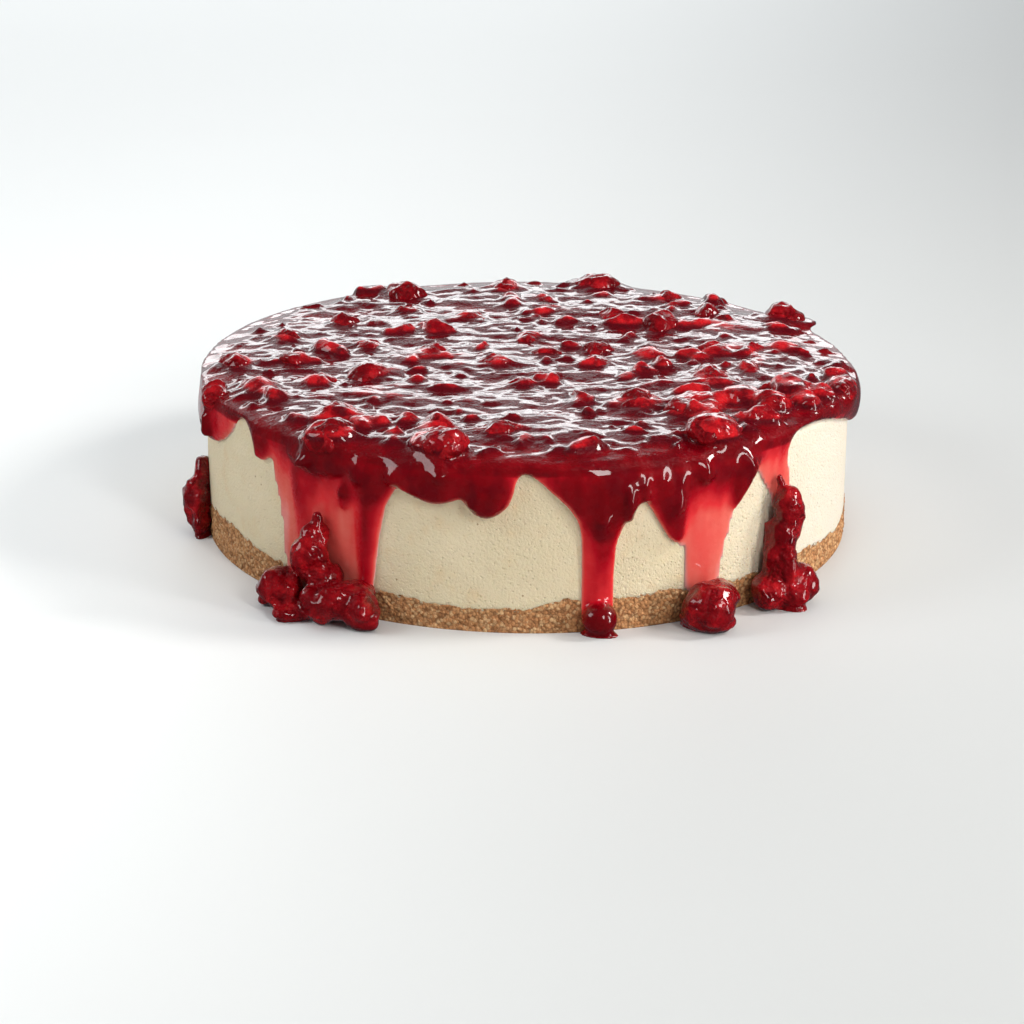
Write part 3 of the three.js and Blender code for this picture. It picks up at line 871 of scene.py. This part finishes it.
def sunken_places(count):
    """Random places on top for sunken cherries, clear of the whole ones."""
    draw = random.Random(SEED)
    taken = []
    for name in nodes_like("top_cherry"):
        low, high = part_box(name)
        taken.append(((low.x + high.x) / 2, (low.y + high.y) / 2, (high.x - low.x) / 2))
    places = []
    for _ in range(count):
        out = CAKE_RADIUS * 0.97 * math.sqrt(draw.random())
        turn = draw.uniform(0, 2 * math.pi)
        half = (SUNK_SMALLEST + SUNK_SPREAD * draw.random() ** 1.5) * MM
        x, y = out * math.cos(turn), out * math.sin(turn)
        bare = y > SPARSE_FROM and draw.random() < SPARSE_SHARE
        if not bare and all(
                math.hypot(x - a, y - b) > SUNK_SPACING * (half + c) for a, b, c in taken):
            taken.append((x, y, half))
            proud = draw.uniform(0.12, 0.6) * half
            places.append((Vector((x, y, top_level(SAUCE_TOP, y) + proud)), half, draw.random()))
    return places


def sauce_edge(angle):
    """Height in mm of the lower edge of the thick sauce at an angle in degrees."""
    edge = LIP / MM
    for rings in ALL_RUNS:
        for height, left, right, thick in rings:
            if left < angle < right and thick > 2:
                edge = min(edge, height)
    return edge


def rim_lumps():
    """Lumps of fruit under the rolled edge: the listed ones in front, random ones elsewhere."""
    draw = random.Random(SEED + 1)
    lumps = list(FRONT_LUMPS)
    for step in range(RIM_LUMPS):
        angle = -180 + 360 * (step + draw.uniform(0.1, 0.9)) / RIM_LUMPS
        half = draw.uniform(3.5, 7)
        height = draw.uniform(51, 54) + draw.random() ** 4 * 3
        height += TOP_FALL * CAKE_RADIUS / MM * math.cos(math.radians(angle))
        out = CAKE_RADIUS / MM + draw.uniform(-6, -2)
        unlisted = not LISTED_FROM < angle < LISTED_TO
        lowest = height - 0.8 * half
        if unlisted and lowest > sauce_edge(angle) + 1:
            lumps.append((angle, out, height, half, 0.7 * half, 0.8 * half))
    return lumps


def add_lump(angle, out, height, *halves, detail=2):
    """Adds a ball that faces outwards at an angle, with its sizes in millimetres."""
    place = on_wall(angle, out * MM, height * MM)
    add_ball(place, [half * MM for half in halves], math.radians(angle), detail)


def add_ball(centre, halves, turn, detail):
    """Adds a ball to the mesh in edit mode, pressed to its three half sizes and turned."""
    bpy.ops.mesh.select_all(action="DESELECT")
    bpy.ops.mesh.primitive_ico_sphere_add(subdivisions=detail, radius=1, location=centre)
    bpy.ops.transform.resize(value=halves, center_override=centre)
    bpy.ops.transform.rotate(value=turn, orient_axis="Z", center_override=centre)


def new_mesh_object(name):
    """An empty mesh object to add balls to."""
    mesh = bpy.data.meshes.new(name)
    thing = bpy.data.objects.new(name, mesh)
    bpy.context.scene.collection.objects.link(thing)
    return thing


def cherry_measures(node, i):
    """Centre, half sizes and turn of the whole cherry that a node shows.

    The lower part of a cherry on top is hidden in the sauce, so it hangs from its highest point.
    """
    low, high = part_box(node)
    size = high - low
    centre = (low + high) / 2
    if node.startswith("foot"):
        return centre, [0.5 * size.x, 0.5 * size.y, 0.5 * size.z], 0
    if node.startswith("rim"):
        return centre, [0.52 * size.x, 0.52 * size.y, 0.5 * size.z], 0
    wide = 0.56 * max(size.x, size.y)
    tall = 0.42 * (size.x + size.y) * 0.5 + 0.3 * size.z
    return Vector((centre.x, centre.y, high.z - tall)), [wide, 0.9 * wide, tall], 2.4 * i


def whole_cherries(name, start, detail):
    """Balls in the places of the cherries whose nodes' names start so."""
    cherries = new_mesh_object(name)
    edit(cherries)
    for i, node in enumerate(nodes_like(start)):
        add_ball(*cherry_measures(node, i), detail)
    return leave_edit()


def clinging_sauce():
    """The sauce on the whole cherries: a little lower than they are, with a low mound round."""
    skin = 0.8 * MM
    mound = 3 * MM
    sauce = new_mesh_object("clinging_sauce")
    edit(sauce)
    for i, node in enumerate(nodes_like("top_cherry") + nodes_like("rim_cherry")):
        centre, halves, turn = cherry_measures(node, i)
        add_ball(centre, [half - skin for half in halves], turn, 3)
        if node.startswith("top"):
            proud = centre.z + halves[2] - top_level(SAUCE_TOP, centre.y)
            low = centre + Vector((0, 0, halves[2] - 0.62 * proud - mound))
            add_ball(low, (1.35 * halves[0], 1.3 * halves[1], mound), turn, 3)
    return leave_edit()


def near_lip(points):
    """Weights that fade out from the line where skirt, runs and rolled edge meet."""
    aside = np.abs(from_axis(points) - CAKE_RADIUS - SKIRT) / (7 * MM)
    above = np.abs(untilted(points) - LIP + MM) / (6 * MM)
    return 1 - aside - above + 0.5


class CHEESECAKE_OT_sauce(Operator):
    """Pours the cherry sauce: pool, rolled edge, runs down the wall and sunken cherries"""

    bl_idname = "cheesecake.sauce"
    bl_label = "Cherry sauce"

    def execute(self, context):
        settings = context.scene.cheesecake
        skirt = unrolled_skirt()
        finish_modifier(skirt, "SIMPLE_DEFORM", deform_method="BEND", deform_axis="Z",
                        angle=2 * math.pi)
        skirt.location.y = -CAKE_RADIUS
        fruit = self.sunken_fruit(settings)
        drop = self.drop()
        clinging = clinging_sauce()
        sauce = joined([poured_top(), skirt, clinging, fruit, drop], "cherry_sauce")
        finish_modifier(sauce, "REMESH", mode="VOXEL", voxel_size=settings.voxel)
        finish_modifier(sauce, "SMOOTH", factor=0.5, iterations=4)
        kink = weigh(sauce, "kink", near_lip)
        finish_modifier(sauce, "SMOOTH", factor=0.5, iterations=40, vertex_group=kink)
        top = weigh(sauce, "top", lambda p: (untilted(p) - LIP) / (4 * MM))
        for texture, height, middle in (
            (clouds("sauce swell", 24 * MM, 1), 2.2, 0.46),
            (clouds("sauce ripple", 8 * MM, 1), 1.7, 0.5),
            (creases("sauce folds", 17 * MM), 0.8, 1.0),
            (clouds("sauce wrinkle", 3.4 * MM, 1), 0.6, 0.5),
        ):
            rise = height * settings.ripple
            relief(sauce, texture, rise, top, middle, direction="Z", stretch=(1.7, 1, 1))
        relief(sauce, clouds("sauce skin", 2.6 * MM, 1), 0.5 * settings.ripple, top)
        self.lower_back_rim(sauce)
        self.keep_off_floor(sauce)
        self.open_underside(sauce)
        dress(sauce, sauce_material(settings))
        put(sauce, "glaze", "cherry_glaze")
        return {"FINISHED"}

    def sunken_fruit(self, settings):
        """Lumps of fruit under the sauce, on top and in the rolled edge."""
        fruit = new_mesh_object("fruit")
        edit(fruit)
        for place, half, share in sunken_places(settings.sunk):
            halves = (1.15 * half, 0.7 * half, 0.55 * half)
            turn = 6.3 * share  # up to a whole turn
            add_ball(place - Vector((0, 0, halves[2])), halves, turn, 3)
        for lump in rim_lumps():
            add_lump(*lump, detail=3)
        leave_edit()
        relief(fruit, clouds("fruit dents", 7 * MM, 2), 4.6 * MM, "", 0.54)
        relief(fruit, creases("fruit folds", 8 * MM), 1.3 * MM, "", 0.9)
        return fruit

    def drop(self):
        """The round drop at the foot of the long run and the puddle that it fed."""
        edit(new_mesh_object("drop"))
        add_lump(*LONG_RUN_DROP, detail=4)
        angle, out, wide, deep = LONG_RUN_PUDDLE
        add_lump(angle, out, 0.2, wide, deep, 1.2, detail=4)
        return leave_edit()

    def lower_back_rim(self, sauce):
        """Lets the sauce thin out towards the rim at the back."""
        most = 1.8 * MM
        points = points_of(sauce)
        behind = np.clip(0.5 + points[:, 1] / CAKE_RADIUS, 0, 1)
        near_rim = np.clip((from_axis(points) - 0.8 * CAKE_RADIUS) / (0.17 * CAKE_RADIUS), 0, 1)
        high = np.clip((untilted(points) - FILLING_TOP - 0.8 * MM) / (3 * MM), 0, 1)
        points[:, 2] -= most * behind * near_rim ** 2 * high
        place_points(sauce, points)

    def keep_off_floor(self, sauce):
        points = points_of(sauce)
        points[:, 2] = np.maximum(points[:, 2], FLOOR_GAP)
        place_points(sauce, points)

    def open_underside(self, sauce):
        """Cuts the cake's own room out of the sauce, just inside the filling's surface."""
        inset = 0.8 * MM
        depth = 0.1  # well past the floor
        bpy.ops.object.select_all(action="DESELECT")
        bpy.ops.mesh.primitive_cylinder_add(
            vertices=120, radius=CAKE_RADIUS - inset, depth=depth,
            location=(0, 0, FILLING_TOP - inset - depth / 2),
            rotation=(-math.atan(TOP_FALL), 0, 0),
        )
        room = bpy.context.object
        finish_modifier(sauce, "BOOLEAN", operation="DIFFERENCE", object=room, solver="MANIFOLD")
        bpy.data.objects.remove(room)


# ---- Cherries -------------------------------------------------------------------------------


CHERRY_RELIEF = 0.9 * MM


def wrinkle(cherries):
    """Gives soft cherries their dents and creased skin."""
    relief(cherries, clouds("cherry dents", 12 * MM, 1), 5 * CHERRY_RELIEF, "", 0.66)
    relief(cherries, creases("cherry folds", 8 * MM), 0.8 * CHERRY_RELIEF, "", 1.0)
    relief(cherries, clouds("cherry skin", 2.6 * MM, 2), 0.9 * CHERRY_RELIEF, "", 0.5)


class CHEESECAKE_OT_cherries(Operator):
    """Models the whole cherries on top and at the rim"""

    bl_idname = "cheesecake.cherries"
    bl_label = "Cherries on top"

    def execute(self, context):
        settings = context.scene.cheesecake
        for name, start in (("top_cherries", "top_cherry"), ("rim_cherries", "rim_cherry")):
            cherries = whole_cherries(name, start, 5)
            wrinkle(cherries)
            dress(cherries, cherry_material(settings))
            put(cherries, "cherry", *nodes_like(start))
        return {"FINISHED"}


class CHEESECAKE_OT_foot_cherries(Operator):
    """Models the cherries that have slid down to the foot of the cake"""

    bl_idname = "cheesecake.foot_cherries"
    bl_label = "Cherries at the foot"

    def execute(self, context):
        settings = context.scene.cheesecake
        cherries = whole_cherries("foot_cherries", "foot_cherry", 4)
        relief(cherries, clouds("foot dents", 10 * MM, 1), 3.4 * MM, "", 0.58)
        sauce = new_mesh_object("foot_sauce")
        edit(sauce)
        for lump in FOOT_LUMPS:
            add_lump(*lump, detail=4)
        for angle, out, wide, deep in PUDDLES:
            add_lump(angle, out, 0.1, wide, deep, 1.7, detail=4)
        leave_edit()
        whole = joined([cherries, sauce], "foot_cherries")
        finish_modifier(whole, "REMESH", mode="VOXEL", voxel_size=0.7 * settings.voxel)
        finish_modifier(whole, "SMOOTH", factor=0.5, iterations=4)
        raised = weigh(whole, "raised", lambda p: (p[:, 2] - 1.5 * MM) / (2 * MM))
        relief(whole, creases("foot folds", 9 * MM), 0.8 * MM, raised, 1.0)
        relief(whole, clouds("foot skin", 3.2 * MM, 1), 0.7 * MM, raised, 0.5)
        low, high = (np.array(corner) for corner in CAD_BOX)
        margin = 0.05 * MM
        place_points(whole, np.clip(points_of(whole), low + margin, high - margin))
        dress(whole, cherry_material(settings))
        put(whole, "cherry", *nodes_like("foot_cherry"))
        return {"FINISHED"}


# ---- Studio ---------------------------------------------------------------------------------

# A long lens, well back, that looks down a little.
LENS = 114.83
CAMERA_BACK = 9.7338 * CAKE_RADIUS
CAMERA_UP = 3.5296 * CAKE_RADIUS
CAMERA_PITCH = math.radians(19.879)
CAMERA_YAW = math.radians(-0.264)
CAMERA_ROLL = math.radians(0.458)

WHITE, COOL, SKY = (1, 0.99, 0.97), (0.96, 0.99, 1), (0.95, 0.98, 1)
LAMP_TARGET = Vector((0, 0, 0.04))


def add_lamp(name, place, size, power, colour, mirrored=True):
    """Adds a rectangle of light that shines at the cake; the gloss shows it if mirrored."""
    turn = (LAMP_TARGET - Vector(place)).to_track_quat("-Z", "Y").to_euler()
    bpy.ops.object.light_add(type="AREA", location=place, rotation=turn)
    lamp = bpy.context.object
    lamp.name = name
    lamp.data.shape = "RECTANGLE"
    lamp.data.size, lamp.data.size_y = size
    lamp.data.energy = power
    lamp.data.color = colour
    lamp.visible_camera = False
    lamp.visible_glossy = mirrored


class CHEESECAKE_OT_studio(Operator):
    """Sets up the floor, the soft light and the camera"""

    bl_idname = "cheesecake.studio"
    bl_label = "Studio"

    def execute(self, context):
        settings = context.scene.cheesecake
        self.floor(settings)
        self.light()
        self.camera(context)
        return {"FINISHED"}

    def floor(self, settings):
        bpy.ops.object.select_all(action="DESELECT")
        bpy.ops.mesh.primitive_plane_add(size=8)
        floor = bpy.context.object
        floor.name = "floor"
        paint = Paint("floor", Roughness=0.6, Specular_IOR_Level=0.3)
        tint = tuple(settings.floor)
        # painted shade: the floor is darkened by up to half towards the right and a little towards
        # the front, where less light falls
        painted_falloff = (paint.x - paint.y * 0.25).between(-0.3, 0.3)
        paint.feed("Base Color", paint.blend(painted_falloff, tint, dimmed(tint, 0.5)))
        dress(floor, paint.material)
        floor.visible_glossy = False  # its pale mirror image would hide the sauce's red

    def light(self):
        world = bpy.context.scene.world or bpy.data.worlds.new("studio")
        bpy.context.scene.world = world
        world.use_nodes = True
        background = world.node_tree.nodes["Background"]
        background.inputs["Color"].default_value = (0.86, 0.92, 1.0, 1)
        background.inputs["Strength"].default_value = 0.09
        add_lamp("key", (0.80, -0.05, 0.62), (0.18, 0.26), 6, (1, 0.98, 0.95))
        add_lamp("strip", (0.78, -0.50, 0.195), (0.12, 0.79), 6.2, WHITE)
        add_lamp("window", (0.42, -0.85, 0.62), (0.14, 0.38), 3.5, WHITE)
        add_lamp("overhead", (0, 0.1, 1.5), (1.5, 1.5), 8.6, SKY, mirrored=False)
        add_lamp("front fill", (-0.3, -1.2, 0.6), (1, 1), 0.9, (0.97, 0.98, 1), mirrored=False)
        # three bands behind the cake: the top mirrors the middle one, its waves the other two
        add_lamp("back glow", (-0.45, 1.6, 0.48), (2.4, 0.38), 10.8, COOL)
        add_lamp("back ground", (-0.45, 1.6, -0.11), (2.4, 0.80), 3.0, COOL)
        add_lamp("back dusk", (-0.45, 1.5, 0.98), (2.4, 0.50), 1.1, SKY)
        add_lamp("left fill", (-0.95, -0.35, 0.7), (0.5, 0.5), 6.4, (0.97, 0.99, 1))

    def camera(self, context):
        forward = Vector((
            math.sin(CAMERA_YAW) * math.cos(CAMERA_PITCH),
            math.cos(CAMERA_YAW) * math.cos(CAMERA_PITCH),
            -math.sin(CAMERA_PITCH),
        ))
        level = Vector((math.cos(CAMERA_YAW), -math.sin(CAMERA_YAW), 0))
        upright = level.cross(forward)
        right = math.cos(CAMERA_ROLL) * level + math.sin(CAMERA_ROLL) * upright
        up = math.cos(CAMERA_ROLL) * upright - math.sin(CAMERA_ROLL) * level
        turn = Matrix((right, up, -forward)).transposed()
        bpy.ops.object.camera_add(location=(0, -CAMERA_BACK, CAMERA_UP), rotation=turn.to_euler())
        context.scene.camera = bpy.context.object
        context.scene.camera.data.lens = LENS
        context.scene.camera.data.sensor_width = 36
        context.scene.camera.data.clip_start = 0.01
        context.scene.view_settings.view_transform = "Standard"


# ---- Sidebar and registration ---------------------------------------------------------------

STEPS = (
    CHEESECAKE_OT_crumb_base,
    CHEESECAKE_OT_filling,
    CHEESECAKE_OT_sauce,
    CHEESECAKE_OT_cherries,
    CHEESECAKE_OT_foot_cherries,
    CHEESECAKE_OT_studio,
)


class CHEESECAKE_PT_panel(Panel):
    """Lists the cheesecake's settings and steps"""

    bl_label = "Cheesecake"
    bl_idname = "CHEESECAKE_PT_panel"
    bl_space_type = "VIEW_3D"
    bl_region_type = "UI"
    bl_category = "Cheesecake"

    def draw(self, context):
        settings = context.scene.cheesecake
        for name in CheesecakeSettings.__annotations__:
            self.layout.prop(settings, name)
        for step in STEPS:
            self.layout.operator(step.bl_idname)


CLASSES = (CheesecakeSettings, *STEPS, CHEESECAKE_PT_panel)


def register():
    for part in CLASSES:
        bpy.utils.register_class(part)
    bpy.types.Scene.cheesecake = PointerProperty(type=CheesecakeSettings)


def unregister():
    del bpy.types.Scene.cheesecake
    for part in reversed(CLASSES):
        bpy.utils.unregister_class(part)


def main():
    register()
    bpy.ops.cheesecake.crumb_base()
    bpy.ops.cheesecake.filling()
    bpy.ops.cheesecake.sauce()
    bpy.ops.cheesecake.cherries()
    bpy.ops.cheesecake.foot_cherries()
    bpy.ops.cheesecake.studio()


if __name__ == "__main__":
    main()
